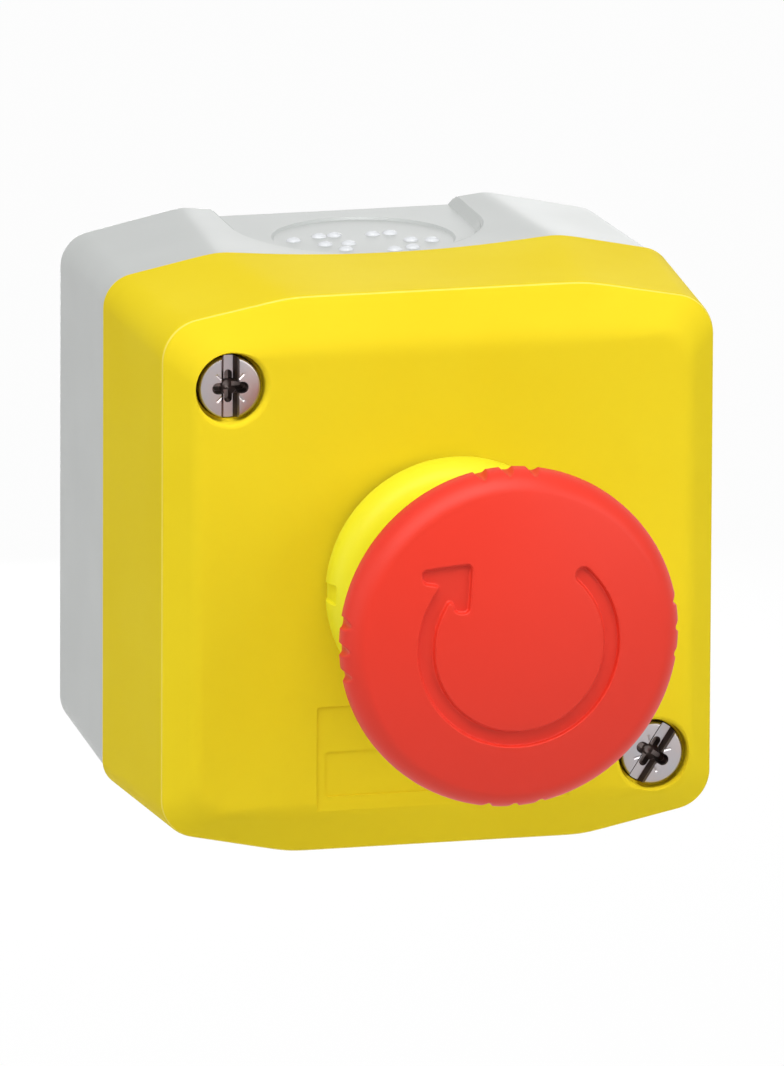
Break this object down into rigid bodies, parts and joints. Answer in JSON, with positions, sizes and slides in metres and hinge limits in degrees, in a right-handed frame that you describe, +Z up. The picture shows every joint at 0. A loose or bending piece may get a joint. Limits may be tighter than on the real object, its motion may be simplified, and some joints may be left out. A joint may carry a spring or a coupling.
{
  "type": "pushbutton control station",
  "caption": "Wall-mounted plastic enclosure with a latching, turn-to-release red mushroom-head pushbutton over base-mounted contact blocks.",
  "frame": {"origin": "middle of the base's flat back face, which lies on the wall", "axes": "+X to the right, +Z up, -Y out from the wall along the button's axis"},
  "size_m": [0.068, 0.089, 0.066],
  "materials": {
    "grey_plastic": "fine satin moulded polycarbonate",
    "yellow_plastic": "satin moulded polycarbonate",
    "lemon_plastic": "smooth moulded plastic",
    "red_plastic": "smooth satin moulded plastic",
    "carrier_red": "moulded plastic",
    "dark_plastic": "moulded glass-filled plastic",
    "white_plastic": "moulded acetal",
    "rubber": "soft nitrile rubber",
    "screw_steel": "zinc-plated steel",
    "spring_steel": "drawn spring wire",
    "brass": "turned brass",
    "silver_contact": "silver-plated strip"
  },
  "bodies": {
    "enclosure": {"base": "grey_plastic", "cover": "yellow_plastic", "cover_gasket": "rubber", "cover_screw_upper_left": "screw_steel", "cover_screw_lower_right": "screw_steel", "screw_seal_upper_left": "rubber", "screw_seal_lower_right": "rubber", "threaded_insert_upper_left": "brass", "threaded_insert_lower_right": "brass", "bezel": "lemon_plastic", "bezel_gasket": "rubber", "operator_nut": "white_plastic", "stem_seal": "rubber", "cam_sleeve": "white_plastic", "torsion_spring": "spring_steel", "spring_retainer": "white_plastic", "return_spring": "spring_steel", "contact_housing_left": "dark_plastic", "contact_lid_left": "dark_plastic", "carrier_spring_left": "spring_steel", "terminal_strip_left_upper": "silver_contact", "terminal_strip_left_lower": "silver_contact", "clamp_plate_left_upper": "screw_steel", "clamp_plate_left_lower": "screw_steel", "terminal_screw_left_upper": "screw_steel", "terminal_screw_left_lower": "screw_steel", "contact_housing_right": "dark_plastic", "contact_lid_right": "dark_plastic", "carrier_spring_right": "spring_steel", "terminal_strip_right_upper": "silver_contact", "terminal_strip_right_lower": "silver_contact", "clamp_plate_right_upper": "screw_steel", "clamp_plate_right_lower": "screw_steel", "terminal_screw_right_upper": "screw_steel", "terminal_screw_right_lower": "screw_steel"},
    "plunger": {"actuator": "white_plastic", "actuator_foot": "white_plastic"},
    "head": {"mushroom_cap": "red_plastic", "cap_stem": "dark_plastic"},
    "left_contact": {"carrier_left": "carrier_red", "bridge_contact_left": "silver_contact", "contact_spring_left": "spring_steel"},
    "right_contact": {"carrier_right": "white_plastic", "bridge_contact_right": "silver_contact", "contact_spring_right": "spring_steel"}
  },
  "joints": [
    {"name": "head_push", "type": "slide", "parent": "enclosure", "child": "plunger", "axis": [0, 1, 0], "range_m": [0, 0.0043], "stiffness_N_per_m": 900, "springref_m": -0.004, "deforming": ["return_spring"]},
    {"name": "head_twist", "type": "hinge", "parent": "plunger", "child": "head", "pos_m": [0, -0.053, 0], "axis": [0, 1, 0], "range_deg": [0, 45], "stiffness_Nm_per_rad": 0.06, "springref_deg": -17.19, "deforming": ["torsion_spring"]},
    {"name": "left_contact_slide", "type": "slide", "parent": "enclosure", "child": "left_contact", "axis": [0, 1, 0], "range_m": [0, 0.0043], "deforming": ["carrier_spring_left"]},
    {"name": "right_contact_slide", "type": "slide", "parent": "enclosure", "child": "right_contact", "axis": [0, 1, 0], "range_m": [0, 0.0043], "deforming": ["carrier_spring_right"]}
  ],
  "couplings": [
    {"joint": "left_contact_slide", "follows": "head_push", "ratio": 1},
    {"joint": "right_contact_slide", "follows": "head_push", "ratio": 1}
  ]
}
